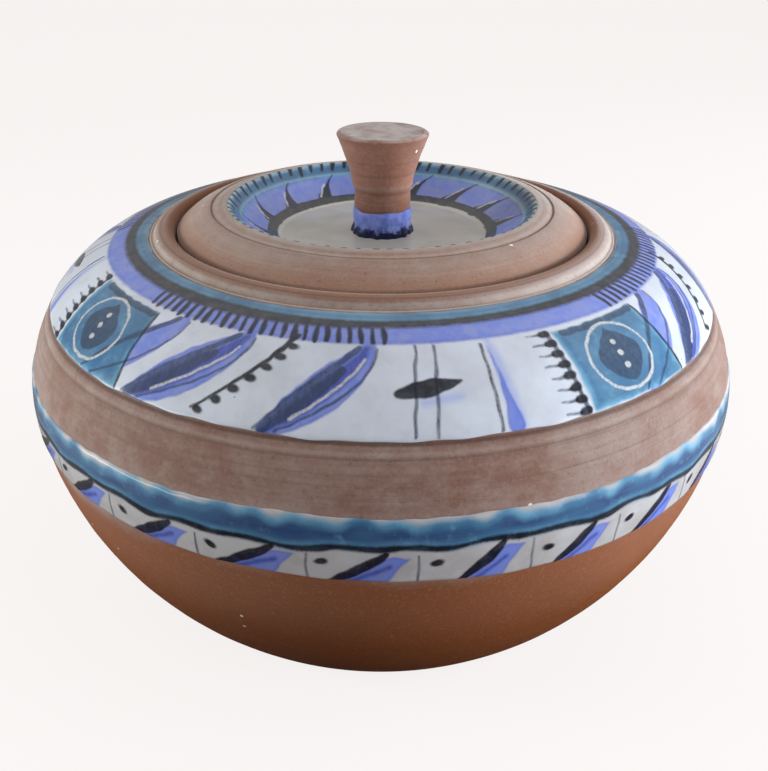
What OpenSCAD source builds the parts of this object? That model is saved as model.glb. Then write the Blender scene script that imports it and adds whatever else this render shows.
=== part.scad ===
// Wheel-thrown earthenware casserole with a drop-in lid, glazed in bands.
// The origin is the centre of the flat base, and +Z is the axis of throwing.
//
// The pot's outside is two arcs, tangent to each other: the shoulder, which runs
// on past the widest point, and the lower wall.  A place on it is named by its
// turn: the angle in degrees between straight up and the outward normal, 0 on the
// shoulder's crest and 90 at the widest point.  The inside and the coats of glaze
// are the same arcs with another radius, so the solids meet face to face.

/* [Pot] */
// Radius of the shoulder's crest
crest_r = 78; // [76:0.5:84]
// Height of the shoulder's crest
crest_z = 136.5; // [134:0.5:142]
// Radius of the arc of the shoulder, down past the widest point
shoulder_arc = 51.5; // [49:0.5:54]
// Turn at which the shoulder passes into the lower wall
shoulder_turn = 97; // [95:0.5:98]
// Radius of the arc of the lower wall
lower_arc = 124; // [120:1:130]
// Thickness of the wall
wall = 7; // [5:0.5:9]
// Thickness of the floor
floor_t = 9; // [6:0.5:12]

/* [Mouth] */
// Inside radius of the mouth, above the ledge that carries the lid
mouth_r = 75.1; // [74.5:0.1:76]
// Height of the lip's crest
lip_z = 139.5; // [139:0.1:141]
// Height of the ledge that carries the lid
ledge_z = 129.5; // [128.5:0.1:130]
// Inside radius of the ledge
throat_r = 68; // [66:0.5:69]
// Thickness of the ledge at the throat
ledge_t = 4.5; // [4:0.5:6]

/* [Lid] */
// Play between the lid and the mouth, all round
lid_play = 1; // [0.6:0.1:1.5]
// Gap between the lid's bearing face and the ledge
seat_gap = 0.3; // [0.2:0.05:0.5]
// Height at which the lid's edge begins to round over
lid_edge_z = 137.5; // [136.5:0.1:138]
// Radius of the crest between the lid's dome and its well
well_rim_r = 55.9; // [54:0.1:58]
// Height of that crest
well_rim_z = 145.6; // [144:0.1:147]
// Radius of the well's flat floor
well_floor_r = 37; // [34:0.5:40]
// Height of the well's floor
well_floor_z = 133; // [132.5:0.1:134]
// Radius of the arc over the lid's dome
dome_arc = 28; // [24:1:36]
// Radius of the arc down the wall of the well
well_arc = 45; // [40:1:80]
// Thickness of the lid
lid_wall = 6; // [5:0.5:6.5]

/* [Knob] */
// Height of the knob's top
knob_top_z = 170; // [166:0.5:174]
// Radius of the knob's top
knob_top_r = 16.4; // [14:0.1:20]
// Radius of the knob's neck
knob_neck_r = 10; // [8.5:0.1:11]
// Depth of the scored seat that the knob is luted into
knob_seat = 1.5; // [1:0.1:2]
// Height at which the glaze on the knob ends
collar_z = 142.8; // [140:0.1:145]

/* [Glaze] */
// Thickness of the glaze
glaze = 0.6; // [0.4:0.1:0.8]
// Turn at the upper edge of the shoulder's glaze
shoulder_glaze_top = 6.6; // [6.4:0.1:8]
// Turn at the lower edge of the shoulder's glaze
shoulder_glaze_end = 54.2; // [48:0.2:58]
// Turn at the upper edge of the belly band's glaze
belly_glaze_top = 76.5; // [72:0.5:80]
// Turn at the lower edge of the belly band's glaze
belly_glaze_end = 98.3; // [98:0.1:99]

/* [Hidden] */
$fn = 180;

// The two tangent arcs of the pot's outside.
function along(turn) = [sin(turn), cos(turn)];
shoulder_c = [crest_r, crest_z - shoulder_arc];
lower_c = shoulder_c + (shoulder_arc - lower_arc) * along(shoulder_turn);
function arc_centre(turn) = turn < shoulder_turn ? shoulder_c : lower_c;
function arc_radius(turn) = turn < shoulder_turn ? shoulder_arc : lower_arc;

// The point of the outside at this turn, moved outwards by out.
function skin(turn, out = 0) = arc_centre(turn) + (arc_radius(turn) + out) * along(turn);

// A run of points of the outside between two turns.
function run(from, to, steps, out = 0) =
    [for (i = [0:steps]) skin(from + (to - from) * i / steps, out)];

// The turn at which the lower wall, moved outwards by out, reaches height z.
function turn_at(z, out = 0) = acos((z - lower_c.y) / (lower_arc + out));

function reversed(points) = [for (i = [len(points) - 1:-1:0]) points[i]];

// Points on the arc of radius r from p to q, which bulges to the left of the way there.
function bend(p, q, r, steps) =
    let(mid = (p + q) / 2, half = norm(q - p) / 2, dir = (q - p) / (2 * half),
        left = [-dir.y, dir.x], rise = sqrt(r * r - half * half), open = asin(half / r))
    [for (i = [0:steps])
        let(t = open * (2 * i / steps - 1))
        mid + dir * r * sin(t) + left * (r * cos(t) - rise)];

// A coat of glaze on the outside between two turns.  Its edges taper off over this many degrees.
glaze_taper = 0.5;
module coat(from, to, steps) {
    inner = run(from, to, steps);
    outer = concat([skin(from + glaze_taper, glaze)],
                   [for (i = [1:steps - 1]) skin(from + (to - from) * i / steps, glaze)],
                   [skin(to - glaze_taper, glaze)]);
    rotate_extrude() polygon(concat(inner, reversed(outer)));
}

// Steps that the body and the coats share, so that their faces coincide.
shoulder_steps = 14;
belly_steps = 6;
inside_steps = 32;

// The turned groove under the shoulder's glaze and the bead below it.
groove_depth = 0.6;
bead_height = 0.4;
groove_turns = [for (t = [0.3, 1, 2]) shoulder_glaze_end + t];
bead_turns = [for (t = [2.6, 3.9, 5.2]) shoulder_glaze_end + t];
band_top = shoulder_glaze_end + 7.6;
band_end = belly_glaze_top - 1;

// The lip: a rounded bead of clay, and a step down to the shoulder's glaze.
lip_w = 7.2;
lip_step = [[mouth_r + lip_w + 1.2, crest_z - 0.3], [mouth_r + lip_w, crest_z + 0.6]];
lip_bead = [[mouth_r + 6.2, lip_z - 1.2], [mouth_r + 4.6, lip_z - 0.4],
            [mouth_r + 2.6, lip_z], [mouth_r + 1.3, lip_z - 0.3],
            [mouth_r + 0.4, lip_z - 1.2], [mouth_r, lip_z - 2.4]];

// The inside, from under the ledge to the floor.
inside_top = 14;
inside_end = turn_at(floor_t, -wall);

module pot_body() {
    outside = concat(
        run(turn_at(0), belly_glaze_end, 10),
        [for (i = [belly_steps - 1:-1:0])
            skin(belly_glaze_top + (belly_glaze_end - belly_glaze_top) * i / belly_steps)],
        reversed(run(band_top, band_end, 4)),
        reversed([for (t = bead_turns) skin(t, bead_height)]),
        reversed([for (t = groove_turns) skin(t, -groove_depth)]),
        reversed(run(shoulder_glaze_top, shoulder_glaze_end, shoulder_steps)));
    gallery = [[mouth_r, ledge_z], [throat_r + 0.8, ledge_z], [throat_r, ledge_z - 0.8],
               [throat_r, ledge_z - ledge_t + 0.8], [throat_r + 0.8, ledge_z - ledge_t],
               [mouth_r + 3, ledge_z - ledge_t + 0.6]];
    inside = run(inside_top, inside_end, inside_steps, -wall);
    color([0.66, 0.52, 0.45])
    rotate_extrude()
    polygon(concat([[0, 0]], outside, lip_step, lip_bead, gallery, inside, [[0, floor_t]]));
}

module shoulder_glaze() {
    color([0.62, 0.66, 0.82])
    coat(shoulder_glaze_top, shoulder_glaze_end, shoulder_steps);
}

module belly_glaze() {
    color([0.35, 0.52, 0.66])
    coat(belly_glaze_top, belly_glaze_end, belly_steps);
}

// The glaze inside, from under the ledge down the wall and over the floor.
module interior_glaze() {
    span = inside_end - inside_top;
    clay_side = run(inside_top, inside_end, inside_steps, -wall);
    open_side = concat(
        [skin(inside_top + glaze_taper, -wall - glaze)],
        [for (i = [1:inside_steps - 1]) skin(inside_top + span * i / inside_steps, -wall - glaze)],
        [skin(turn_at(floor_t + glaze, -wall - glaze), -wall - glaze)]);
    color([0.86, 0.84, 0.80])
    rotate_extrude()
    polygon(concat(clay_side, [[0, floor_t], [0, floor_t + glaze]], reversed(open_side)));
}

// The lid: a flange that drops into the mouth, a dome, and a well round the knob.
lid_r = mouth_r - lid_play;
bearing_z = ledge_z + seat_gap;
well_rim = [well_rim_r, well_rim_z];
well_edge = [well_floor_r, well_floor_z];
well_steps = 8;
dome_steps = 8;
knob_foot_r = knob_neck_r + 0.6;

// The hollow wall of the well, from its floor up to its rim.
well_wall = reversed(bend(well_rim, well_edge, well_arc, well_steps));

module lid_body() {
    underside = [[0, well_floor_z - lid_wall], [well_floor_r - 2, well_floor_z - lid_wall],
                 [well_floor_r + 3.4, well_floor_z - lid_wall + 1],
                 [well_rim_r - 1, well_rim_z - lid_wall - 1.6]];
    bearing = [[throat_r - 1.4, bearing_z + 2.6], [throat_r - 0.6, bearing_z]];
    crown = [well_rim_r + 1.5, well_rim_z - lid_wall - 0.9];
    arch = bend(crown, bearing[0], dome_arc - lid_wall, dome_steps);
    flange = [[lid_r - 1, bearing_z], [lid_r, bearing_z + 1]];
    dome = reversed(bend(well_rim, [lid_r, lid_edge_z], dome_arc, dome_steps));
    down_the_well = [for (i = [well_steps - 1:-1:0]) well_wall[i]];
    seat = [[knob_foot_r, well_floor_z], [knob_foot_r, well_floor_z - knob_seat],
            [0, well_floor_z - knob_seat]];
    color([0.66, 0.56, 0.51])
    rotate_extrude()
    polygon(concat(underside, arch, [bearing[1]], flange, dome, down_the_well, seat));
}

// The glaze that lines the well, from the knob's foot to the rim.
module lid_glaze() {
    raised = [for (i = [0:well_steps - 1]) well_wall[i] + [0, glaze]];
    color([0.72, 0.72, 0.72])
    rotate_extrude()
    polygon(concat([[knob_foot_r + glaze, well_floor_z]], well_wall, reversed(raised),
                   [[knob_foot_r + glaze, well_floor_z + glaze]]));
}

// The knob's outline from its foot up, the lower part of it under the collar of glaze.
knob_foot = [[knob_foot_r, well_floor_z - knob_seat], [knob_foot_r, well_floor_z],
             [knob_neck_r + 0.5, well_floor_z + 1.6], [knob_neck_r, well_floor_z + 3.2],
             [knob_neck_r + 0.2, well_floor_z + 6], [knob_neck_r - 0.1, collar_z]];
knob_flare = [[knob_neck_r + 0.3, collar_z + 1.2], [knob_neck_r + 0.3, collar_z + 5.6],
              [knob_neck_r + 1.3, collar_z + 11], [knob_neck_r + 3.0, collar_z + 16.8],
              [knob_neck_r + 4.8, collar_z + 22], [knob_top_r - 0.4, knob_top_z - 2.2],
              [knob_top_r, knob_top_z - 1.4], [knob_top_r - 0.1, knob_top_z - 0.6],
              [knob_top_r - 1, knob_top_z], [knob_top_r - 4, knob_top_z - 0.3]];

module lid_knob() {
    color([0.62, 0.47, 0.40])
    rotate_extrude()
    polygon(concat([[0, well_floor_z - knob_seat]], knob_foot, knob_flare,
                   [[0, knob_top_z - 0.4]]));
}

// The collar of cobalt glaze on the knob's neck.
module knob_glaze() {
    neck = [for (i = [1:len(knob_foot) - 1]) knob_foot[i]];
    outer = [for (i = [1:len(knob_foot) - 2]) knob_foot[i] + [glaze, 0]];
    color([0.35, 0.37, 0.66])
    rotate_extrude()
    polygon(concat(neck, [[knob_neck_r + 0.3, collar_z - 0.7]], reversed(outer)));
}

pot_body();
shoulder_glaze();
belly_glaze();
interior_glaze();
lid_body();
lid_glaze();
lid_knob();
knob_glaze();
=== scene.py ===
"""The looks of a wheel-thrown, hand-painted earthenware casserole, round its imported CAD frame.

Lengths are in millimetres until a mesh is made, and angles are in degrees.  A place on the
pot's outside is an azimuth (0 is the front, -Y, and it grows towards +X) and a distance s
down the skin from the upper edge of its band of glaze.
"""

import math

import bpy
import numpy as np
from mathutils import Matrix, Vector


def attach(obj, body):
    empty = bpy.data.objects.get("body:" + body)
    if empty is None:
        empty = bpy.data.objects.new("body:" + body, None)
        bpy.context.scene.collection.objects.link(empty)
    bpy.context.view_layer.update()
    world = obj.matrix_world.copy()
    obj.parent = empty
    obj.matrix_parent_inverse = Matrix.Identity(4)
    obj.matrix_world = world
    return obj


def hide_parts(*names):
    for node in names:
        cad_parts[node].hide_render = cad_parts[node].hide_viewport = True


MM = 0.001
FAR = 4.0  # a signed distance that counts as far from any paint
TINY = 1e-9  # keeps a division from being by nothing

# The pot's outside is two tangent arcs, as in the CAD model.
CREST_R, CREST_Z = 78.0, 136.5
SHOULDER_ARC, SHOULDER_TURN, LOWER_ARC = 51.5, 97.0, 124.0
WALL, FLOOR = 7.0, 9.0
GLAZE = 0.55
SUNK, UNDER = -0.08, -0.5  # where a coat's edges and its underside lie, out from the clay's skin
SHOULDER_TOP, SHOULDER_END = 6.6, 54.2
BELLY_TOP, BELLY_END = 76.5, 98.3

# The mouth, the lid and the knob.
MOUTH_R, LIP_Z, LEDGE_Z, THROAT_R, LEDGE_T = 75.1, 139.5, 129.5, 68.0, 4.5
LID_R, BEARING_Z, LID_EDGE_Z = 74.1, 129.8, 137.5
RIM_R, RIM_Z, WELL_R, WELL_Z = 55.9, 145.6, 37.0, 133.0
DOME_ARC, WELL_ARC, LID_WALL = 28.0, 45.0, 6.0
KNOB_TOP_Z, KNOB_TOP_R, NECK_R, COLLAR_Z = 170.0, 16.4, 10.0, 142.8
SCORE_R = 61.5  # the radius of the line scored round the lid

# The camera, in metres, degrees and millimetres of lens on a sensor 36 mm wide.
CAMERA_PLACE = (0.0011, -0.3179, 0.2372)
CAMERA_DOWN, CAMERA_ROLL, CAMERA_LENS = 27.99, 0.43, 41.44

BACKDROP = (0.96, 0.93, 0.92, 1)  # the colour of the floor and the wall, as the camera sees them
LAMPS_AIM = (0, 0, 0.08)  # metres


# ---------------------------------------------------------------- outlines

def along(turn):
    """The direction at this turn: 0 is up, 90 is outwards."""
    turn = np.radians(turn)
    return np.stack([np.sin(turn), np.cos(turn)], -1)


def skin(turn, out=0.0):
    """The point (radius, height) of the outside at this turn, moved outwards by out."""
    turn = np.asarray(turn, float)
    upper = turn < SHOULDER_TURN
    shoulder_c = np.array([CREST_R, CREST_Z - SHOULDER_ARC])
    lower_c = shoulder_c + (SHOULDER_ARC - LOWER_ARC) * along(SHOULDER_TURN)
    centre = np.where(upper[..., None], shoulder_c, lower_c)
    radius = np.where(upper, SHOULDER_ARC, LOWER_ARC) + out
    return centre + radius[..., None] * along(turn)


def turn_at(z, out=0.0):
    """The turn at which the lower wall, moved outwards by out, reaches height z."""
    lower_z = CREST_Z - SHOULDER_ARC
    lower_z += (SHOULDER_ARC - LOWER_ARC) * math.cos(math.radians(SHOULDER_TURN))
    return math.degrees(math.acos((z - lower_z) / (LOWER_ARC + out)))


def turn_of(s, start):
    """The turn reached by going s down the skin from the turn start."""
    to_joint = math.radians(SHOULDER_TURN - start) * SHOULDER_ARC
    shoulder = start + np.degrees(s / SHOULDER_ARC)
    lower = SHOULDER_TURN + np.degrees((s - to_joint) / LOWER_ARC)
    return np.where(s < to_joint, shoulder, lower)


def bend(p, q, r, steps):
    """Points on the arc of radius r from p to q, which bulges to the left of the way there."""
    p, q = np.array(p, float), np.array(q, float)
    half = np.linalg.norm(q - p) / 2
    way = (q - p) / (2 * half)
    left = np.array([-way[1], way[0]])
    rise = math.sqrt(r * r - half * half)
    t = math.asin(half / r) * np.linspace(-1, 1, steps + 1)[:, None]
    return (p + q) / 2 + way * r * np.sin(t) + left * (r * np.cos(t) - rise)


def curve(points, steps):
    """A Catmull-Rom curve through the points, with this many steps from each to the next."""
    p = np.array(points, float)
    p = np.vstack([2 * p[0] - p[1], p, 2 * p[-1] - p[-2]])
    t = (np.arange(steps) / steps)[:, None]
    parts = []
    for a, b, c, d in zip(p[:-3], p[1:-2], p[2:-1], p[3:]):
        parts.append(b + 0.5 * t * (c - a + t * (2 * a - 5 * b + 4 * c - d
                                                 + t * (3 * b - 3 * c + d - a))))
    return np.vstack(parts + [p[-2:-1]])


def near(radius, height, *steps):
    """Points at these steps, out and up, from one place."""
    return [(radius + out, height + up) for out, up in steps]


def resampled(outline, step):
    """The same outline with its points about step apart."""
    length = arc_length(outline)
    at = np.linspace(0, length[-1], max(2, int(round(length[-1] / step)) + 1))
    return np.stack([np.interp(at, length, outline[:, 0]),
                     np.interp(at, length, outline[:, 1])], -1)


def arc_length(outline):
    """How far along the outline each of its points is."""
    steps = np.linalg.norm(np.diff(outline, axis=0), axis=1)
    return np.concatenate([[0.0], np.cumsum(steps)])


def normals(outline):
    """The unit normals of an outline, to the right of the way along it."""
    way = np.gradient(outline, axis=0)
    way /= np.maximum(np.linalg.norm(way, axis=1, keepdims=True), TINY)
    return np.stack([way[:, 1], -way[:, 0]], -1)


# ---------------------------------------------------------------- meshes

def turned(angle):
    """The same angle, from -180 to 180."""
    return (angle + 180) % 360 - 180


def azimuths(columns):
    """The azimuths of this many columns, from the back round to the back again."""
    return np.arange(columns) * 360.0 / columns - 180.0


def spun(radius, height, azimuth):
    """Points in space for rings of this radius and height."""
    turn = np.radians(azimuth)
    height = np.broadcast_to(height, np.broadcast(radius, azimuth).shape)
    return np.stack([radius * np.sin(turn), -radius * np.cos(turn), height], -1)


def solid(name, rings, poles=None):
    """A closed mesh from rings of equal length: poles closes its two ends by fans, and
    without them the last ring joins the first."""
    rows, columns = rings.shape[:2]
    points = rings.reshape(-1, 3)
    index = np.arange(rows * columns).reshape(rows, columns)
    below = index if poles is None else index[:-1]
    above = np.roll(index, -1, 0) if poles is None else index[1:]
    quads = np.stack([below, np.roll(below, -1, 1), np.roll(above, -1, 1), above], -1)
    faces = quads.reshape(-1, 4).tolist()
    if poles is not None:
        first, last = len(points), len(points) + 1
        points = np.vstack([points, poles])
        for j, k in zip(range(columns), np.roll(np.arange(columns), -1).tolist()):
            faces.append((first, k, j))
            faces.append((int(index[-1, j]), int(index[-1, k]), last))
    mesh = bpy.data.meshes.new(name)
    mesh.from_pydata((points * MM).tolist(), [], faces)
    mesh.shade_smooth()
    piece = bpy.data.objects.new(name, mesh)
    bpy.context.scene.collection.objects.link(piece)
    return piece


def store(piece, name, values):
    """Keeps one number for each vertex, for the material to read."""
    attribute = piece.data.attributes.new(name, "FLOAT", "POINT")
    attribute.data.foreach_set("value", np.asarray(values, np.float32).ravel())


def throwing(length, azimuth, size, seed):
    """The height of the ridges that fingers and ribs leave on a turning pot."""
    rng = np.random.default_rng(seed)
    total = np.zeros(np.broadcast(length, azimuth).shape)
    for pitch, share in ((2.3, 0.25), (3.7, 0.35), (6.1, 0.5), (9.7, 0.5), (17.0, 0.6)):
        slow = np.sin(length / (pitch * 4.3) + rng.uniform(0, 6.3))
        phase = 2 * np.pi * length / pitch + np.radians(azimuth) + rng.uniform(0, 6.3)
        total += share * (0.6 + 0.4 * slow) * np.sin(phase)
    return size * total


def lathe(name, outline, columns, ridges, seed, marks):
    """A solid of revolution from an outline that starts and ends on the axis, with turning
    ridges of this height.  Each mark is a ring ((radius, height), size, tone), whose tone is
    from -1, dark, to 1, pale."""
    azimuth = azimuths(columns)[None, :]
    inner = outline[1:-1]
    normal = normals(outline)[1:-1]
    length = arc_length(outline)[1:-1, None]
    height = throwing(length, azimuth, ridges, seed)
    fade = np.clip(inner[:, :1] / 6.0, 0, 1)
    height = height * fade
    radius = inner[:, :1] + normal[:, :1] * height
    z = inner[:, 1:] + normal[:, 1:] * height
    ends = [(0, 0, outline[0, 1]), (0, 0, outline[-1, 1])]
    piece = solid(name, spun(radius, z, azimuth), ends)
    tone = np.zeros(len(inner))
    for (mark_r, mark_z), size, value in marks:
        away = np.hypot(inner[:, 0] - mark_r, inner[:, 1] - mark_z)
        tone += value * np.exp(-(away / size) ** 4)
    store(piece, "tone", np.concatenate([np.repeat(tone, columns), [0, 0]]))
    return piece


# ---------------------------------------------------------------- painting

def smoothed(values, width):
    """A running average round a closed row of values."""
    padded = np.concatenate([values[-width:], values, values[:width]])
    return np.convolve(padded, np.ones(width) / width, "same")[width:-width]


def wobble(azimuth, waves, size, seed):
    """A smooth random wave round the pot."""
    rng = np.random.default_rng(seed)
    total = np.zeros_like(azimuth, dtype=float)
    for wave in waves:
        total += np.sin(np.radians(azimuth) * wave + rng.uniform(0, 6.3))
    return size * total / math.sqrt(len(waves))


def nearest(azimuth, wanted):
    """The number of the column whose azimuth is nearest to the one wanted."""
    return int(np.argmin(np.abs(turned(azimuth - wanted))))


def to_line(x, y, ax, ay, bx, by):
    """How far each place is from the line from a to b, and its share of the way along it."""
    dx, dy = bx - ax, by - ay
    share = ((x - ax) * dx + (y - ay) * dy) / max(dx * dx + dy * dy, TINY)
    share = np.clip(share, 0, 1)
    return np.hypot(x - ax - share * dx, y - ay - share * dy), share


class Canvas:
    """A glazed surface laid flat.  Each layer of paint is a signed distance in mm: below 0
    where there is paint.  hand is how far an unsteady hand puts it wrong, round and down."""

    LAYERS = ("mist", "wash", "cobalt", "teal", "grey", "ink", "bare")
    MARGIN = 7.0  # degrees of surface beside a stroke that it may still reach

    def __init__(self, azimuth, s, radius, seed):
        self.azimuth = azimuth
        self.s = s
        rows, columns = s.shape
        rng = np.random.default_rng(seed)
        around = np.radians(azimuth)[None, :]
        self.hand = []
        for _ in range(2):
            drift = np.zeros((rows, columns))
            for _ in range(10):
                wave = rng.integers(18, 150)
                slope = rng.uniform(-0.9, 0.9)
                drift += np.sin(around * wave + s * slope + rng.uniform(0, 6.3))
            self.hand.append(0.05 * drift)
        self.radius = radius
        self.fields = {layer: np.full((rows, columns), FAR) for layer in self.LAYERS}

    def flat(self, low, high):
        """The columns near these azimuths, where they are in mm, round from the middle and
        down, and the azimuth of the middle."""
        middle = (low + high) / 2
        off = turned(self.azimuth - middle)
        columns = np.nonzero(np.abs(off) < (high - low) / 2 + self.MARGIN)[0]
        x = np.radians(off[columns])[None, :] * self.radius[:, columns]
        x = x + self.hand[0][:, columns]
        return columns, x, self.s[:, columns] + self.hand[1][:, columns], middle

    def place(self, azimuth, s, middle):
        """How far round from the middle one place is, in mm, at the radius it has."""
        column = nearest(self.azimuth, azimuth)
        radius = np.interp(s, self.s[:, column], self.radius[:, column])
        return np.radians(azimuth - middle) * radius

    def add(self, layer, columns, distance):
        """Adds paint to these columns of a layer."""
        field = self.fields[layer]
        field[:, columns] = np.minimum(field[:, columns], distance)

    def stroke(self, layer, points, steps=5):
        """A brush stroke along points, which are (azimuth, s, half of the width)."""
        line = curve(points, steps)
        columns, x, y, middle = self.flat(line[:, 0].min(), line[:, 0].max())
        xs = [self.place(a, s, middle) for a, s, _ in line]
        best = np.full(x.shape, FAR)
        ends = list(zip(xs, line[:, 1], np.maximum(line[:, 2], 0.05)))
        for (ax, ay, aw), (bx, by, bw) in zip(ends[:-1], ends[1:]):
            away, share = to_line(x, y, ax, ay, bx, by)
            best = np.minimum(best, away - (aw + share * (bw - aw)))
        self.add(layer, columns, best)

    def oval(self, layer, azimuth, s, half_round, half_down, lean=0.0):
        """A dab of the brush, leaning clockwise by lean."""
        columns, x, y, _ = self.flat(azimuth, azimuth)
        lean = math.radians(lean)
        y = y - s
        u = (x * math.cos(lean) + y * math.sin(lean)) / half_round
        v = (y * math.cos(lean) - x * math.sin(lean)) / half_down
        size = np.hypot(u, v)
        self.add(layer, columns, (size - 1) * min(half_round, half_down))

    def patch(self, layer, outline, steps=4):
        """A closed area whose outline runs smoothly through points (azimuth, s)."""
        ring = np.array(list(outline) + [outline[0]], float)
        ring = curve(ring, steps) if steps > 1 else ring
        columns, x, y, middle = self.flat(ring[:, 0].min(), ring[:, 0].max())
        xs = np.array([self.place(a, s, middle) for a, s in ring])
        best = np.full(x.shape, FAR)
        inside = np.zeros(x.shape, bool)
        for ax, ay, bx, by in zip(xs[:-1], ring[:-1, 1], xs[1:], ring[1:, 1]):
            best = np.minimum(best, to_line(x, y, ax, ay, bx, by)[0])
            drop = by - ay if abs(by - ay) > TINY else TINY
            crossing = ax + (y - ay) * (bx - ax) / drop
            inside ^= ((ay > y) != (by > y)) & (x < crossing)
        self.add(layer, columns, np.where(inside, -best, best))

    def band(self, layer, top, bottom, blur=1.0):
        """A ring of paint between two edges, each a number or one number for each column.
        Its edges are blur times as soft as those of a stroke."""
        distance = np.maximum(top - self.s, self.s - bottom) + 0.4 * self.hand[1]
        self.fields[layer] = np.minimum(self.fields[layer], distance / blur)


# ---------------------------------------------------------------- the shoulder's painting

SHARE = np.linspace(0, 1, 8)  # how far down a stroke each of its points is
DOWN = 16 + 26 * SHARE  # s along a stroke from under the rings to the shoulder's lower edge


def brush(azimuth, s, half):
    """The points of a brush stroke, from numbers or rows of numbers."""
    return np.stack(np.broadcast_arrays(azimuth, s, half), -1)


def swell(half, start, part):
    """Half of a stroke's width at each of its points: it swells to half and shrinks again."""
    return half * np.sin(np.pi * (start + part * SHARE))


def rings(c):
    """The rings of colour below the lip: bare edge, teal, black and periwinkle."""
    black_top = 4.1 + wobble(c.azimuth, (2, 3, 5), 0.3, 51)
    black_end = 8.6 + wobble(c.azimuth, (2, 3, 4), 0.35, 52)
    wash_end = 14.5 + wobble(c.azimuth, (2, 3, 5), 0.4, 53)
    c.band("bare", -2, 0.3 + wobble(c.azimuth, (2, 5), 0.2, 54))
    c.band("teal", 0.2, black_top + 1.2)
    c.band("ink", black_top + 0.2, black_end - 0.3, 2.2)
    c.band("wash", black_end - 1, wash_end, 1.5)


def ticks(c, start, end, pitch, half_width, seed):
    """A run of short black strokes that hang from the black ring."""
    rng = np.random.default_rng(seed)
    for azimuth in np.arange(start, end, pitch):
        bottom = 14.0 + rng.uniform(-0.4, 0.4)
        width = half_width * rng.uniform(0.85, 1.15)
        c.stroke("ink", [(azimuth - 0.3, 8, width * 0.75), (azimuth, 11, width),
                         (azimuth + 0.15, bottom, width * 0.9)], 2)


def leaf(c, at, lean, half, heart):
    """A blue leaf that sweeps down to the left between two grey outlines.  One with a heart
    also has a darker middle and a bare vein."""
    middle = at - lean * SHARE ** 1.3
    body = swell(half, 0.12, 0.76)
    side = body / 2
    c.stroke("wash", brush(middle, DOWN, body))
    if heart:
        c.stroke("cobalt", brush(middle, DOWN, 0.45 * body))
        c.stroke("grey", brush(middle - 0.4 * side, DOWN, 0.5 * body * SHARE ** 0.5)[2:])
        c.stroke("bare", brush(middle + 0.4 * side, DOWN, 0.35)[1:-1])
    c.stroke("grey", brush(middle - side - 0.3, DOWN, 1.1 - 0.7 * SHARE))
    c.stroke("grey", brush(middle + side + 0.3, DOWN, 0.4))


def dot_chain(c, at, lean):
    """A stem that sweeps down to the left, with a row of dots on its right."""
    middle = at - lean * SHARE ** 1.3
    down = 13 + 27 * SHARE
    c.stroke("ink", brush(middle, down, 1.0 - 0.6 * SHARE))
    for azimuth, s in zip(middle[1:], down[1:]):
        c.oval("ink", azimuth + 1.1, s, 1.9, 1.25, 12)


def lens(c, at):
    """A dark lens across two thin lines, with a soft blue smear under it."""
    for offset in (-1.5, 1.5):
        c.stroke("grey", brush(at + offset - SHARE, 15 + 27 * SHARE, 0.5))
    c.stroke("mist", brush(at - 1 + 5 * SHARE, 32.5 - SHARE, 1.0))
    c.stroke("ink", brush(at - 4.5 + 9 * SHARE, 30 - 3 * SHARE, swell(2.6, 0.15, 0.8)))


def ribbon(c, at):
    """A long thin line and a pale blue ribbon beside it, which widens downwards."""
    c.stroke("ink", brush(at, DOWN, 0.45))
    c.stroke("mist", brush(at + 1.5 + SHARE, 15 + 26 * SHARE, 1 + SHARE))
    c.stroke("wash", brush(at + 1 + SHARE, 17 + 24 * SHARE, 0.2 + 2.2 * SHARE ** 2))


def comb(c, at):
    """An upright line with teeth on its left, each with a thick root and a thin tip."""
    c.stroke("grey", brush(at + SHARE, DOWN, 0.75))
    for azimuth, s in zip(at + SHARE, 16.5 + 25 * SHARE):
        root = [(azimuth, s, 1.3), (azimuth - 0.8, s, 1.2), (azimuth - 1.3, s, 0.6)]
        c.stroke("ink", root, 2)
        c.stroke("grey", [(azimuth - 1.2, s, 0.5), (azimuth - 3.6, s - 0.2, 0.3)], 2)


def panel(c, at, wide):
    """A teal panel with a dark edge, and a dark lozenge with bare dots in a bare ring."""
    left, right = at - wide / 2, at + wide / 2
    c.patch("teal", [(left, 16.5), (right, 16.5), (right + 1, 42.4), (left + 1, 42.4)], steps=1)
    c.stroke("cobalt", brush(left + 1.4 + SHARE, 18 + 22 * SHARE, 0.8))
    c.stroke("grey", brush(left + 2 + (wide - 3) * SHARE, 17.6, 1.2))
    c.stroke("ink", brush(right + SHARE, 17 + 25 * SHARE, 0.5))
    c.patch("grey", [(at, 20), (at + 4.6, 29), (at, 38), (at - 4.6, 29)])
    turn = 2 * np.pi * np.linspace(0, 1, 17)
    c.stroke("bare", brush(at + 6.2 * np.sin(turn), 29.3 + 10.8 * np.cos(turn), 0.4))
    for s in (25, 29, 33):
        c.oval("bare", at, s, 1.0, 0.9)


def paint_shoulder(c):
    """A plain pattern of leaves, dots, lines and panels, which repeats four times."""
    rings(c)
    for start in range(-125, 235, 90):
        ticks(c, start - 10, start + 36, 1.9, 0.8, 200 + start)
        leaf(c, start, 13, 5.6, False)
        leaf(c, start + 13, 15, 6.6, True)
        dot_chain(c, start + 21, 12)
        leaf(c, start + 33, 13, 6.0, True)
        lens(c, start + 42)
        ribbon(c, start + 51)
        comb(c, start + 63)
        panel(c, start + 74, 20)


# ---------------------------------------------------------------- the belly's painting

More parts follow.
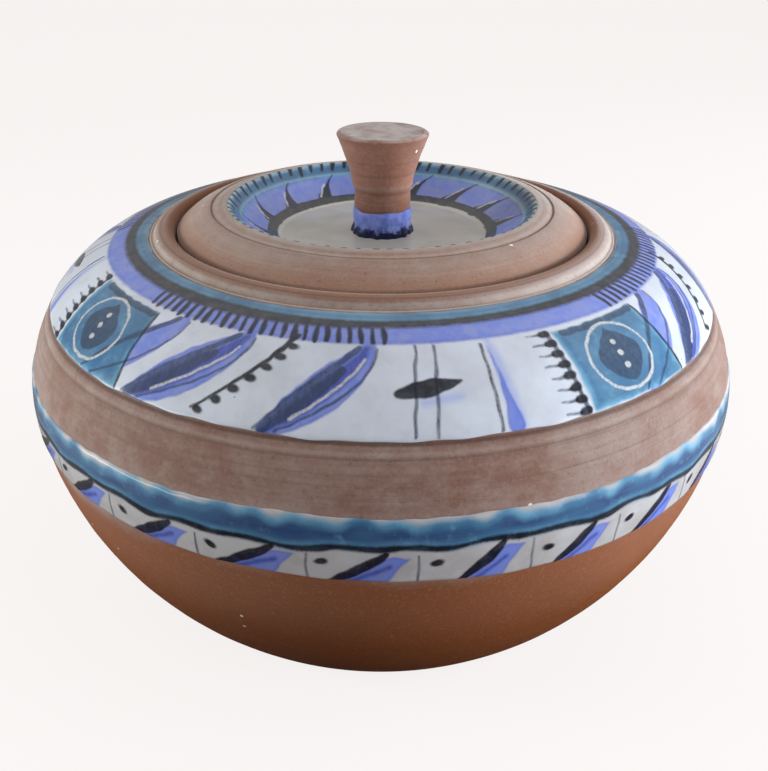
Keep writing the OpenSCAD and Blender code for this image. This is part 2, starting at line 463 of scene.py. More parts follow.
def belly_motif(c, top, from_s, to_s, rng):
    """A thick black stroke that sweeps down to the left over a blue leaf, and then a thin line
    and a dab.  top is the azimuth where it starts."""
    drop = to_s - from_s
    reach = rng.uniform(5, 8)
    c.patch("wash", [(top + 3.4, from_s + 0.1 * drop), (top + 2, from_s + 0.5 * drop),
                     (top, to_s + 0.8), (top - reach + 1.2, to_s + 0.8),
                     (top - 0.55 * reach, from_s + 0.6 * drop), (top + 0.5, from_s + 0.1 * drop)])
    vein = from_s + drop * (0.4 + 0.6 * SHARE)
    c.stroke("cobalt", brush(top + 1 - reach * 0.7 * SHARE, vein, 0.7))
    sweep = from_s - 0.4 + (drop + 0.8) * SHARE ** 0.9
    c.stroke("ink", brush(top + 0.6 - reach * SHARE, sweep, swell(1.7, 0.2, 0.66)))
    c.stroke("grey", brush(top + rng.uniform(4.2, 5), from_s + 0.5 + drop * SHARE, 0.35))
    c.oval("ink", top + 6.7, 14.2 + rng.uniform(-0.8, 0.8), 2, 1.2, rng.uniform(-40, 40))


def paint_belly(c):
    """The belly band: teal that ran at its upper edge, a wavy black line, and a row of motifs."""
    rng = np.random.default_rng(31)
    runs = wobble(c.azimuth, (23, 41, 59, 83), 1.0, 55) + wobble(c.azimuth, (3, 7), 0.6, 56)
    black_top = 8.6 + wobble(c.azimuth, (2, 5, 19, 37), 0.8, 57)
    black_end = black_top + 2.1 + wobble(c.azimuth, (13, 29, 47), 0.35, 58)
    c.band("teal", 1.3 + runs, black_top + 1.6, 1.5)
    c.band("ink", black_top + 0.1, black_end - 0.1, 1.4)
    repeats = 26
    for number in range(repeats):
        top = -180 + 360 / repeats * number + rng.uniform(-0.8, 0.8)
        column = nearest(c.azimuth, top)
        belly_motif(c, top, black_end[column] + 0.7, c.s[-1, column], rng)


# ---------------------------------------------------------------- the well's painting

def paint_well(c):
    """Inside the lid's well: ticks at the rim, teal, periwinkle, and thorns on a black ring."""
    rng = np.random.default_rng(41)
    c.band("teal", 0.1, 6.6 + wobble(c.azimuth, (1, 3), 0.4, 59))
    c.band("wash", 6.2, 18)
    c.band("ink", 17.2, 21.3 + wobble(c.azimuth, (1, 2, 5), 0.3, 60))
    for azimuth in np.arange(2, 360, 5.4):
        azimuth = azimuth + rng.uniform(-0.6, 0.6)
        width = 0.95 * rng.uniform(0.8, 1.25)
        depth = 3.4 * rng.uniform(0.8, 1.2)
        c.stroke("ink", [(azimuth, -0.6, width), (azimuth + 1, depth, 0.7 * width)], 2)
    for tip in np.arange(12, 372, 24):
        c.stroke("ink", brush(tip + 9.5 * SHARE ** 0.8, 6 + 12 * SHARE, 0.25 + 3.3 * SHARE ** 2))
        c.stroke("bare", brush(tip + 6 + 5.5 * SHARE, 10 + 6.4 * SHARE, 0.3))


# ---------------------------------------------------------------- the glazed pieces

def coat_rows(count):
    """Shares from 0 to 1 for the rows of a coat, closer together at its two edges."""
    inner = np.linspace(0, 1, count - 8)
    extra = np.array([0.12, 0.3, 0.55, 0.85]) * inner[1]
    return np.unique(np.concatenate([inner, extra, 1 - extra]))


def rounded_edge(distance, thickness):
    """How thick a coat is at this distance from its edge, with a slightly fuller rim."""
    t = np.clip(distance / 1.1, 0, 1)
    rim = 0.1 * np.exp(-((distance - 1.2) / 0.7) ** 2)
    return thickness * np.sqrt(1 - (1 - t) ** 2) * (0.88 + rim)


def relief(canvas):
    """Scratches lie lower than the glaze and thick ink a little higher."""
    scratch = np.clip(0.5 - canvas.fields["bare"] / 0.4, 0, 1)
    ink = np.clip(0.5 - canvas.fields["ink"] / 0.5, 0, 1)
    return 0.03 * ink - 0.12 * scratch


def finish_coat(name, canvas, outer, under, order):
    """A closed coat: its painted rings in this order (1, or -1 to turn them round), and
    then the rings of its underside, which lead back to the start."""
    piece = solid(name, np.concatenate([outer[::order], under]))
    spare = np.full(under.shape[:2], FAR)
    for layer, field in canvas.fields.items():
        store(piece, layer, np.concatenate([field[::order], spare]))
    azimuth = np.radians(canvas.azimuth)[None, :]
    around = np.broadcast_to(azimuth, canvas.s.shape)
    unrolled = np.stack([100 * np.sin(around), -100 * np.cos(around), canvas.s], -1)
    rest = np.zeros(under.shape)
    attribute = piece.data.attributes.new("unrolled", "FLOAT_VECTOR", "POINT")
    values = np.concatenate([unrolled[::order], rest]).astype(np.float32)
    attribute.data.foreach_set("vector", values.ravel())
    return piece


def outside_coat(name, azimuth, start, top, bottom, rows, paint, seed):
    """A painted coat on the pot's outside between two edges, measured from the turn start."""
    share = coat_rows(rows)[:, None]
    s = top + share * (bottom - top)
    turn = turn_of(s, start)
    canvas = Canvas(azimuth, s, skin(turn)[..., 0], seed)
    paint(canvas)
    edge = np.minimum(s - top, bottom - s)
    inside = np.clip(edge / 1.5, 0, 1)
    out = rounded_edge(edge, GLAZE) + relief(canvas) * inside
    out[0] = out[-1] = SUNK
    place = skin(turn, out)
    outer = spun(place[..., 0], place[..., 1], azimuth)
    back = skin(turn_of(top + np.linspace(0, 1, 7)[:, None] * (bottom - top), start), UNDER)
    under = spun(back[..., 0], back[..., 1], azimuth)
    return finish_coat(name, canvas, outer, under, -1)


def shoulder_coat():
    """The painted coat on the shoulder, with slightly wavy edges."""
    azimuth = azimuths(1090)
    length = math.radians(SHOULDER_END - SHOULDER_TOP) * SHOULDER_ARC
    top = wobble(azimuth, (5, 11, 23, 37, 61), 0.16, 1) + 0.15
    bottom = length + wobble(azimuth, (3, 9, 21, 34, 55), 0.25, 2) - 0.1
    return outside_coat("shoulder_enamel", azimuth, SHOULDER_TOP, top, bottom,
                        rows=84, paint=paint_shoulder, seed=5)


def belly_coat():
    """The painted coat low on the belly.  ends are azimuths, and how many mm further down the
    skin than BELLY_END its lower edge is there."""
    azimuth = azimuths(1440)
    top = 0.5 + wobble(azimuth, (2, 5, 13), 0.5, 63) + wobble(azimuth, (41, 67, 89, 113), 0.12, 3)
    ends = [(-75, -2.3), (-45, -1.8), (-30, -1), (-10, -0.5), (10, 0.3), (25, 0.9), (38, 1),
            (50, 0.5), (75, -0.3), (130, -0.9), (-150, -1.3), (-110, -1.9)]
    length = math.radians(SHOULDER_TURN - BELLY_TOP) * SHOULDER_ARC
    length += math.radians(BELLY_END - SHOULDER_TURN) * LOWER_ARC
    at, lower = np.array(ends, float).T
    bottom = length + smoothed(np.interp(azimuth, at, lower, period=360), 61)
    bottom = bottom + wobble(azimuth, (7, 17, 31, 47), 0.2, 4)
    return outside_coat("belly_enamel", azimuth, BELLY_TOP, top, bottom,
                        rows=50, paint=paint_belly, seed=6)


def well_coat():
    """The glaze in the well.  Its rings run from the rim down the wall to the knob's foot."""
    azimuth = azimuths(900)
    wall = bend((RIM_R, RIM_Z), (WELL_R, WELL_Z), WELL_ARC, 40)
    floor = np.array([[NECK_R + 1.0, WELL_Z]])
    line = resampled(np.vstack([wall, floor]), 0.25)
    length = arc_length(line)
    top = wobble(azimuth, (4, 9, 17, 31), 0.12, 7)
    s = top + coat_rows(86)[:, None] * (length[-1] - top)
    radius = np.interp(s, length, line[:, 0])
    canvas = Canvas(azimuth, s, radius, 8)
    paint_well(canvas)
    normal = normals(line)
    up_r = np.interp(s, length, normal[:, 0])
    up_z = np.interp(s, length, normal[:, 1])
    height = np.interp(s, length, line[:, 1])
    out = rounded_edge(np.maximum(s - top, 0), GLAZE) + relief(canvas) * np.clip(s / 1.5, 0, 1)
    out = out + 0.25 * np.exp(-((s - length[-1]) / 1.3) ** 2)
    out[0] = SUNK
    outer = spun(radius + up_r * out, height + up_z * out, azimuth)
    at = np.linspace(length[-1], 0, 9)[:, None]
    under_r = np.interp(at, length, line[:, 0])
    below = spun(under_r, np.interp(at, length, line[:, 1]) + UNDER, azimuth)
    return finish_coat("well_enamel", canvas, outer, below, 1)


def collar_coat():
    """The thick cobalt collar on the knob's neck, with a dark wavy hem where it pooled."""
    azimuth = azimuths(360)
    foot = near(NECK_R, WELL_Z, (1.5, 0.4), (1.4, 1.2), (1.1, 2.3), (0.6, 4.0), (0.7, 6.4))
    line = curve(foot + near(NECK_R, COLLAR_Z, (0.75, -1.4), (0.45, -0.2), (-0.15, 0)), 8)
    length = arc_length(line)
    share = (length / length[-1])[:, None]
    hem = 1 - share
    waver = wobble(azimuth, (5, 8, 13, 19), 0.35, 9)[None, :]
    radius = line[:, :1] + waver * hem ** 2
    height = line[:, 1:] + wobble(azimuth, (3, 5, 9), 0.2, 10)[None, :] * share ** 3 - 0.15 * share
    outer = spun(radius, height, azimuth)
    inner_line = np.array([(NECK_R - 0.5, COLLAR_Z - 0.6), (NECK_R - 0.5, WELL_Z + 0.2)])
    under = spun(inner_line[:, :1], inner_line[:, 1:], azimuth[None, :])
    piece = solid("collar_enamel", np.concatenate([outer, under]))
    store(piece, "hem", np.concatenate([np.broadcast_to(share, outer.shape[:2]),
                                        np.ones(under.shape[:2])]))
    return piece


def inside_coat():
    """The glaze inside the pot, from under the ledge down the wall and over the floor."""
    azimuth = azimuths(240)[None, :]
    turns = np.linspace(14, turn_at(FLOOR, -WALL), 70)
    wall = skin(turns, -WALL)
    raised = skin(np.linspace(14, turn_at(FLOOR + GLAZE, -WALL - GLAZE), 70), -WALL - GLAZE)
    floor = np.stack([np.linspace(raised[-1, 0] - 1, 3, 24), np.full(24, FLOOR + GLAZE)], -1)
    back = np.stack([np.linspace(3, wall[-1, 0] - 1, 8), np.full(8, FLOOR - 0.2)], -1)
    behind = skin(turns, -WALL + 0.2)[::-1]
    outline = np.vstack([back, behind, [wall[0]], raised, floor])
    poles = [(0, 0, FLOOR - 0.2), (0, 0, FLOOR + GLAZE)]
    return solid("interior_enamel", spun(outline[:, :1], outline[:, 1:], azimuth), poles)


# ---------------------------------------------------------------- the clay pieces

def pot_outline():
    """The clay of the pot: the base, the outside, the lip, the ledge and the inside."""
    foot_turn = turn_at(0)
    foot_r = skin(foot_turn)[0]
    base = [(0, 0.6), (foot_r - 12, 0.6), (foot_r - 9, 0), (foot_r - 1.6, 0), (foot_r - 0.3, 0.5)]
    outside = skin(np.linspace(turn_at(1.6), SHOULDER_END + 6.6, 200))
    bead = skin(SHOULDER_END + np.array([6.0, 5.5, 5.1, 4.4, 3.6, 2.8, 2.2, 1.8]),
                np.array([0.0, -0.12, 0.0, 0.08, 0.12, 0.1, 0.05, -0.05]))
    groove = skin(SHOULDER_END + np.array([1.5, 1.2, 0.9, 0.5, 0.2, 0.05]),
                  np.array([-0.25, -0.4, -0.45, -0.4, -0.3, -0.05]))
    shoulder = skin(np.linspace(SHOULDER_END, SHOULDER_TOP, 12))
    rise = near(MOUTH_R, CREST_Z, (8.2, 0.05), (7.6, 0.1), (7.1, 0.7))
    over = near(MOUTH_R, LIP_Z, (6.6, -1.5), (5.6, -0.75), (4.2, -0.3), (2.6, -0.05),
                (1.2, -0.4), (0.35, -1.3), (0, -2.6))
    lip = curve([shoulder[-1]] + rise + over, 5)[1:]
    gallery = [(MOUTH_R, LEDGE_Z + 0.8), (MOUTH_R - 0.6, LEDGE_Z), (THROAT_R + 0.8, LEDGE_Z),
               (THROAT_R, LEDGE_Z - 0.8), (THROAT_R, LEDGE_Z - LEDGE_T + 0.8),
               (THROAT_R + 0.8, LEDGE_Z - LEDGE_T), (MOUTH_R + 3, LEDGE_Z - LEDGE_T + 0.6)]
    inside = skin(np.linspace(14, turn_at(FLOOR, -WALL), 30), -WALL)
    return np.vstack([base, outside, bead, groove, shoulder, lip, gallery, inside, [(0, FLOOR)]])


def pot_clay():
    """The pot's bare clay, with dark and pale rings at the groove, the lip and the foot.  The dark
    ring down in the groove is painted shade.
    """
    # The first mark, dark, in the groove under the glaze, is painted shade.
    marks = [(skin(SHOULDER_END + 0.8, -0.5), 0.7, -0.65), (skin(SHOULDER_END + 3.8, 0.3), 0.8, 0.2),
             (skin(SHOULDER_END + 5.5), 0.4, -0.3),
             ((MOUTH_R + 6.9, LIP_Z - 2.0), 1.1, 0.6), ((MOUTH_R + 4.7, LIP_Z - 0.4), 0.45, -0.4),
             (skin(turn_at(20)), 0.9, -0.4), (skin(turn_at(16.4)), 0.7, -0.3)]
    return lathe("pot_clay", pot_outline(), columns=300, ridges=0.045, seed=21, marks=marks)


def lid_outline():
    """The clay of the lid: its underside, the flange, the dome with a scored line, and the well."""
    underside = [(0, WELL_Z - LID_WALL), (WELL_R - 2, WELL_Z - LID_WALL),
                 (WELL_R + 3.4, WELL_Z - LID_WALL + 1), (RIM_R - 1, RIM_Z - LID_WALL - 1.6)]
    bearing = (THROAT_R - 1.4, BEARING_Z + 2.6)
    arch = bend((RIM_R + 1.5, RIM_Z - LID_WALL - 0.9), bearing, DOME_ARC - LID_WALL, 16)
    flange = [(THROAT_R - 0.6, BEARING_Z), (LID_R - 1, BEARING_Z), (LID_R, BEARING_Z + 1)]
    dome = bend((RIM_R, RIM_Z), (LID_R, LID_EDGE_Z), DOME_ARC, 90)[::-1]
    dome[:, 1] -= 0.3 * np.exp(-((dome[:, 0] - SCORE_R) / 0.35) ** 2)
    dome[:, 1] -= 0.25 * np.exp(-((dome[:, 0] - 60.6) / 1.3) ** 2)
    well = bend((RIM_R, RIM_Z), (WELL_R, WELL_Z), WELL_ARC, 24)[1:]
    return np.vstack([underside, arch, flange, dome, well, [(NECK_R - 1, WELL_Z)], [(0, WELL_Z)]])


def lid_clay():
    """The lid's bare clay, with a scored line, a paler edge round the well and painted shade at its
    outer edge.
    """
    # The last mark, dark, at the lid's outer edge, is painted shade where the lid dips towards the
    # gap by the lip.
    marks = [((61.6, 144.9), 0.5, -0.4), ((60.4, 145.2), 0.8, 0.5), ((RIM_R + 0.9, RIM_Z), 1.2, 0.4),
             ((LID_R - 0.4, LID_EDGE_Z + 0.6), 1.0, -0.35)]
    return lathe("lid_clay", lid_outline(), columns=360, ridges=0.05, seed=22, marks=marks)


def knob_outline():
    """The knob: a narrow neck that flares to a flat top."""
    neck = near(NECK_R, WELL_Z, (0.6, -1.4), (0.3, 1.6), (-0.1, 5))
    side = near(NECK_R, COLLAR_Z, (-0.1, 0), (0.2, 1.4), (0.1, 5.2), (0.35, 7.2), (1.0, 8.8),
                (1.25, 11), (2.9, 16.8), (4.9, 22.3))
    edge = near(KNOB_TOP_R, KNOB_TOP_Z, (-0.5, -2.3), (-0.1, -1.4), (-0.2, -0.8), (-1.2, -0.2),
                (-4, -0.35))
    top = [(KNOB_TOP_R - 7, KNOB_TOP_Z - 0.45), (6, KNOB_TOP_Z - 0.4), (3, KNOB_TOP_Z - 0.35)]
    return np.vstack([[(0, WELL_Z - 1.4)], neck, curve(side + edge, 12), top,
                      [(0, KNOB_TOP_Z - 0.35)]])


def knob_clay():
    """The knob's bare clay, with the lines where a finger turned it."""
    marks = [((NECK_R + 0.5, 149.6), 0.7, -0.3), ((NECK_R + 0.9, 151.6), 0.8, 0.15),
             ((NECK_R + 1.8, 156.2), 0.5, -0.2), ((NECK_R + 3.1, 160.9), 0.5, -0.2)]
    return lathe("knob_clay", knob_outline(), columns=200, ridges=0.09, seed=23, marks=marks)


# ---------------------------------------------------------------- materials

def srgb(red, green, blue):
    """A colour given as it looks on a screen, from 0 to 255, as Blender's linear colour."""
    def linear(value):
        value /= 255
        return value / 12.92 if value <= 0.04045 else ((value + 0.055) / 1.055) ** 2.4
    return (linear(red), linear(green), linear(blue), 1.0)


class Shader:
    """A short way to write the shader nodes of a material or a world."""

    def __init__(self, owner):
        owner.use_nodes = True
        self.owner = owner
        self.tree = owner.node_tree
        self.tree.nodes.clear()

    def node(self, kind, inputs=(), **settings):
        """A node with its settings, and its inputs as values or as other nodes' outputs."""
        made = self.tree.nodes.new("ShaderNode" + kind)
        for key, value in settings.items():
            setattr(made, key, value)
        for key, value in dict(inputs).items():
            if isinstance(value, bpy.types.NodeSocket):
                self.tree.links.new(value, made.inputs[key])
            else:
                made.inputs[key].default_value = value
        return made

    def maths(self, operation, a, b=0.0):
        """One step of arithmetic on numbers or outputs."""
        return self.node("Math", {0: a, 1: b}, operation=operation).outputs[0]

    def plus(self, a, b):
        """The sum of two numbers or outputs."""
        return self.maths("ADD", a, b)

    def times(self, a, b):
        """The product of two numbers or outputs."""
        return self.maths("MULTIPLY", a, b)

    def mix(self, factor, a, b):
        """Colour a where factor is 0 and colour b where it is 1."""
        made = self.node("Mix", {"Factor": factor}, data_type="RGBA")
        for socket, value in zip(made.inputs[6:8], (a, b)):
            if isinstance(value, bpy.types.NodeSocket):
                self.tree.links.new(value, socket)
            else:
                socket.default_value = value
        return made.outputs[2]

    def attribute(self, name, output="Fac"):
        """What the mesh keeps under this name."""
        return self.node("Attribute", attribute_name=name).outputs[output]

    def span(self, value, low, high, to_low=0.0, to_high=1.0, smooth=True):
        """value carried from low..high to to_low..to_high, and held at the ends."""
        kind = "SMOOTHSTEP" if smooth else "LINEAR"
        return self.node("MapRange", {"Value": value, "From Min": low, "From Max": high,
                                      "To Min": to_low, "To Max": to_high},
                         interpolation_type=kind).outputs[0]

    def scaled(self, where, scale):
        """A place with each of its coordinates multiplied."""
        return self.node("Mapping", {"Vector": where, "Scale": scale}).outputs[0]

    def place(self, scale=(1, 1, 1)):
        """The place on the object in millimetres, stretched by scale."""
        where = self.node("TexCoord").outputs["Object"]
        return self.scaled(where, [value / MM for value in scale])

    def noise(self, where, scale, detail=3.0, rough=0.5):
        """A cloudy pattern, around 0.5, with scale clouds to each unit of where."""
        return self.node("TexNoise", {"Vector": where, "Scale": scale, "Detail": detail,
                                      "Roughness": rough}).outputs[0]

    def cells(self, where, scale, channel, rarity):
        """Scattered cells: how far each place is from the middle of its cell, and 1 in the few
        cells whose random number is above rarity."""
        cell = self.node("TexVoronoi", {"Vector": where, "Scale": scale, "Randomness": 1.0})
        number = self.node("SeparateColor", {0: cell.outputs["Color"]}).outputs[channel]
        return cell.outputs["Distance"], self.span(number, rarity, rarity + 0.02)

    def holes(self, where, scale, channel, rarity, size):
        """1 in scattered pinholes, whose size is a share of the distance between cells."""
        away, few = self.cells(where, scale, channel, rarity)
        return self.times(self.span(away, size, size + 0.03, 1, 0), few)

    def bump(self, height, distance, strength):
        """A normal for a fine relief, distance high in millimetres."""
        inputs = {"Height": height, "Distance": distance * MM, "Strength": strength}
        return self.node("Bump", inputs).outputs[0]

    def surface(self, **inputs):
        """The Principled surface with these inputs, as the material's output."""
        names = {key.replace("_", " "): value for key, value in inputs.items()}
        shader = self.node("BsdfPrincipled", names)
        self.node("OutputMaterial", {"Surface": shader.outputs[0]})
        return self.owner


def material_nodes(name):
    """The shader of a new material."""
    return Shader(bpy.data.materials.new(name))


def round_radius(s):
    """The distance from the pot's axis and the height, in millimetres."""
    x, y, z = s.node("SeparateXYZ", {0: s.place()}).outputs
    return s.maths("SQRT", s.plus(s.times(x, x), s.times(y, y))), z


def clay(name, base, warm, pale, tint):
    """Bare fired earthenware: mottled, with fine turning lines, grog, lime specks and pits."""
    s = material_nodes(name)
    radius, height = round_radius(s)
    level = s.node("CombineXYZ", {0: s.times(radius, 0.9), 2: height}).outputs[0]
    drift = s.node("CombineXYZ", {1: s.noise(s.place(), 0.02, 2)}).outputs[0]
    level = s.node("VectorMath", {0: level, 1: drift}, operation="ADD").outputs[0]
    lines = s.noise(level, 1.5, 4, 0.62)
    wide = s.noise(level, 0.16, 3, 0.5)
    cloud = s.noise(s.place(), 0.03, 5, 0.62)
    patch = s.noise(s.place((1, 1, 1.6)), 0.16, 5, 0.68)
    grain = s.noise(s.place(), 0.95, 5, 0.72)
    colour = s.mix(s.span(cloud, 0.35, 0.65), base, warm)
    for seen, low, high, most, over in ((patch, 0.42, 0.7, 0.3, pale), (patch, 0.5, 0.3, 0.4, warm),
                                        (wide, 0.45, 0.75, 0.25, pale)):
        colour = s.mix(s.span(seen, low, high, 0, most), colour, over)
    combed = s.span(cloud, 0.62, 0.38, 0.4, 1)
    colour = s.mix(s.times(s.span(lines, 0.52, 0.7, 0, 0.3), combed), colour, pale)
    colour = s.mix(s.times(s.span(lines, 0.46, 0.3, 0, 0.35), combed), colour, srgb(84, 50, 40))
    colour = tint(s, colour, radius, height)
    # The tone kept on the mesh lightens and darkens rings of clay; its dark rings in the pot's
    # groove and at the lid's edge are painted shade.
    tone = s.times(s.attribute("tone"), s.span(patch, 0.3, 0.6, 0.7, 1.1))
    colour = s.mix(s.span(tone, 0, 1, 0, 0.75, False), colour, srgb(176, 165, 154))
    colour = s.mix(s.span(tone, 0, -1, 0, 0.9, False), colour, srgb(56, 36, 30))
    colour = s.mix(s.span(grain, 0.52, 0.7, 0, 0.2), colour, srgb(182, 152, 136))
    colour = s.mix(s.span(grain, 0.46, 0.3, 0, 0.42), colour, srgb(74, 44, 36))
    away, rare = s.cells(s.place(), 0.17, 0, 0.93)
    ragged = s.plus(away, s.span(grain, 0.3, 0.7, -0.05, 0.05, False))
    lime = s.times(s.span(ragged, 0.08, 0.12, 1, 0), rare)
    colour = s.mix(lime, colour, srgb(222, 212, 204))
    pit = s.holes(s.place((1, 1, 1.7)), 0.11, 1, 0.86, 0.03)
    colour = s.mix(pit, colour, srgb(52, 36, 30))
    relief_height = s.plus(s.times(lines, 0.5), s.times(grain, 0.8))
    relief_height = s.maths("SUBTRACT", relief_height, s.times(pit, 1.5))
    normal = s.bump(relief_height, 0.2, 0.8)
    rough = s.span(grain, 0.3, 0.7, 0.7, 0.92)
    dust = s.span(height, 40, 90, 0, 0.26)
    return s.surface(Base_Color=colour, Roughness=rough, Normal=normal, Specular_IOR_Level=0.3,
                     Sheen_Weight=dust, Sheen_Roughness=0.4, Sheen_Tint=(0.97, 0.98, 1.0, 1))


def pot_tint(s, colour, radius, height):
    """The lip is redder inside, has a pale line at the glaze and a painted sheen of light on its
    right side.
    The lower wall turns browner and darker towards the foot, partly clay colour and partly painted
    shade."""
    above = s.span(height, 135.5, 136.5)
    pale_line = s.span(s.maths("ABSOLUTE", s.maths("SUBTRACT", radius, 83.4)), 0.1, 0.4, 0.6, 0)
    colour = s.mix(s.times(pale_line, above), colour, srgb(196, 182, 168))
    colour = s.mix(s.span(radius, 81.5, 79.5, 0, 0.9), colour, srgb(134, 90, 66))
    colour = s.mix(s.span(radius, 77.6, 75.6, 0, 0.6), colour, srgb(140, 86, 54))
    # Painted sheen: the top of the lip is paler towards the right, where the light from that side
    # catches it.
    right = s.span(s.node("SeparateXYZ", {0: s.place()}).outputs[0], 5, 65, 0, 0.5)
    painted_rim_sheen = s.times(s.times(right, above), s.span(radius, 78, 81))
    colour = s.mix(painted_rim_sheen, colour, srgb(190, 172, 170))
    # Partly painted shade: below the belly the clay turns browner and darker towards the foot,
    # partly its own colour.
    uneven = s.plus(height, s.span(s.noise(s.place(), 0.02, 2), 0.3, 0.7, -4, 4))
    colour = s.mix(s.span(uneven, 82, 74, 0, 0.97), colour, srgb(126, 66, 26))
    return s.mix(s.span(uneven, 74, 20, 0, 0.75), colour, srgb(94, 46, 19))


def lid_tint(s, colour, radius, height):
    """The lid is warmer and a little darker towards its edge, which is painted shade where it rounds
    down to the gap, and dark in the scored line.
    """
    # Painted shade: warmer, darker clay towards the edge, where the lid rounds down to the gap.
    colour = s.mix(s.span(radius, 66, 73, 0, 0.5), colour, srgb(156, 112, 88))
    scored = s.span(s.maths("ABSOLUTE", s.maths("SUBTRACT", radius, SCORE_R)), 0.1, 0.45, 0.5, 0)
    return s.mix(scored, colour, srgb(96, 68, 58))


def knob_tint(s, colour, radius, height):
    """The knob's top is rubbed pale, unevenly."""
    rubbed = s.span(s.noise(s.place(), 0.12, 4, 0.65), 0.35, 0.62, 0.1, 0.85)
    top = s.times(s.span(height, 168.7, 169.6), rubbed)
    return s.mix(top, colour, srgb(166, 148, 141))


def teal_paint(s, cloud, blot, round_way, depth):
    """The teal's colour: watery, darker where it lies thick, and paler in blots."""
    water = s.mix(s.span(cloud, 0.35, 0.65), srgb(46, 108, 142), srgb(100, 156, 186))
    deep = s.mix(s.span(round_way, 0.4, 0.7), srgb(20, 65, 112), srgb(14, 51, 93))
    thick = s.span(s.attribute("teal"), -0.2, -2.6, 0.1, depth)
    water = s.mix(s.times(thick, s.span(cloud, 0.3, 0.55, 0.75, 1)), water, deep)
    return s.mix(s.span(blot, 0.55, 0.8, 0, 0.4), water, srgb(96, 150, 172))


def enamel(name, ground, dull, bleed, depth):
    """Glossy pale glaze with painted colours under it, read from the layers kept on the mesh.
    The teal bleeds this far, in millimetres, into what is next to it, and depth (0 to 1) is
    how dark it gets where it lies thick."""
    s = material_nodes(name)
    where = s.attribute("unrolled", "Vector")
    fine = s.noise(s.place(), 1.1, 3, 0.6)
    fuzz = s.span(fine, 0.2, 0.8, -0.1, 0.1, False)
    down = s.noise(s.scaled(where, (0.8, 0.8, 0.3)), 1.0, 3, 0.6)
    round_way = s.noise(s.scaled(where, (0.03, 0.03, 1.3)), 1.0, 3, 0.6)
    cloud = s.noise(s.place(), 0.07, 4, 0.6)
    blot = s.noise(s.place(), 0.28, 3, 0.55)
    colour = s.mix(s.span(cloud, 0.35, 0.7), ground, dull)
    colour = s.mix(s.span(blot, 0.55, 0.8, 0, 0.25), colour, srgb(172, 178, 196))
    pool = s.span(s.attribute("wash"), -1.4, -0.1, 0, 0.4)
    strong = s.plus(pool, s.span(blot, 0.4, 0.7, 0, 0.35))
    blue = s.mix(strong, srgb(98, 116, 196), srgb(70, 86, 172))
    streak = s.times(s.span(down, 0.3, 0.7, 0.8, 1), s.span(fine, 0.3, 0.7, 0.8, 0.97))
    dark = s.mix(s.span(down, 0.45, 0.75), srgb(8, 11, 24), srgb(22, 28, 48))
    crust = s.mix(s.span(fine, 0.4, 0.65), srgb(190, 189, 190), srgb(166, 164, 164))
    # each layer with the distances where it starts and where it is full, its strength and colour
    paints = (("mist", 1.7, -1.7, 0.6, srgb(132, 144, 206)),
              ("wash", 0.5, -0.5, s.span(blot, 0.35, 0.7, 0.95, 0.75), blue),
              ("cobalt", 0.9, -0.9, s.span(down, 0.3, 0.7, 0.7, 0.9), srgb(46, 58, 142)),
              ("teal", bleed, -bleed, 0.95, teal_paint(s, cloud, blot, round_way, depth)),
              ("grey", 0.35, -0.35, streak, srgb(40, 52, 74)),
              ("ink", 0.4, -0.4, s.span(blot, 0.3, 0.75, 0.99, 0.92), dark),
              ("bare", 0.38, -0.22, 0.92, crust))
    for layer, edge, full, strength, paint in paints:
        covered = s.span(s.plus(s.attribute(layer), fuzz), edge, full)
        colour = s.mix(s.times(covered, strength), colour, paint)
    hole = s.holes(s.place(), 0.13, 0, 0.86, 0.02)
    colour = s.mix(s.times(hole, 0.7), colour, srgb(120, 96, 80))
    skin_height = s.plus(s.times(blot, 0.6), s.times(fine, 0.12))
    skin_height = s.maths("SUBTRACT", skin_height, s.times(hole, 0.6))
    normal = s.bump(skin_height, 0.15, 0.4)
    rough = s.span(blot, 0.3, 0.8, 0.12, 0.22)
    return s.surface(Base_Color=colour, Roughness=rough, Normal=normal, IOR=1.52)


def collar_enamel():
    """Thick cobalt glaze that pooled almost black at its hem."""
    s = material_nodes("cobalt_enamel")
    share = s.attribute("hem")
    blot = s.noise(s.place(), 0.35, 4, 0.6)
    share = s.plus(share, s.span(blot, 0.3, 0.7, -0.12, 0.12, False))
    colour = s.mix(s.span(blot, 0.3, 0.7), srgb(98, 112, 190), srgb(134, 148, 212))
    colour = s.mix(s.span(share, 0.42, 0.24), colour, srgb(18, 22, 58))
    colour = s.mix(s.span(share, 0.94, 1.05), colour, srgb(150, 110, 110))
    normal = s.bump(blot, 0.3, 0.4)
    rough = s.span(blot, 0.3, 0.8, 0.07, 0.16)
    return s.surface(Base_Color=colour, Roughness=rough, Normal=normal, IOR=1.54)


def inside_enamel():
    """Plain cream glaze with faint throwing rings and a few pinholes."""
    s = material_nodes("cream_enamel")
    radius, height = round_radius(s)
    level = s.node("CombineXYZ", {0: radius, 2: height}).outputs[0]
    rings_seen = s.noise(level, 0.35, 3, 0.5)
    cloud = s.noise(s.place(), 0.05, 4, 0.6)
    colour = s.mix(s.span(cloud, 0.35, 0.7), srgb(224, 220, 210), srgb(206, 198, 184))
    colour = s.mix(s.span(rings_seen, 0.5, 0.75, 0, 0.35), colour, srgb(190, 180, 166))
    hole = s.holes(s.place(), 0.1, 0, 0.8, 0.02)
    colour = s.mix(hole, colour, srgb(110, 84, 66))
    height_seen = s.plus(s.times(rings_seen, 0.8), s.times(cloud, 0.5))
    normal = s.bump(height_seen, 0.3, 0.5)
    rough = s.span(cloud, 0.3, 0.7, 0.12, 0.22)
    return s.surface(Base_Color=colour, Roughness=rough, Normal=normal, IOR=1.52)


# ---------------------------------------------------------------- the studio

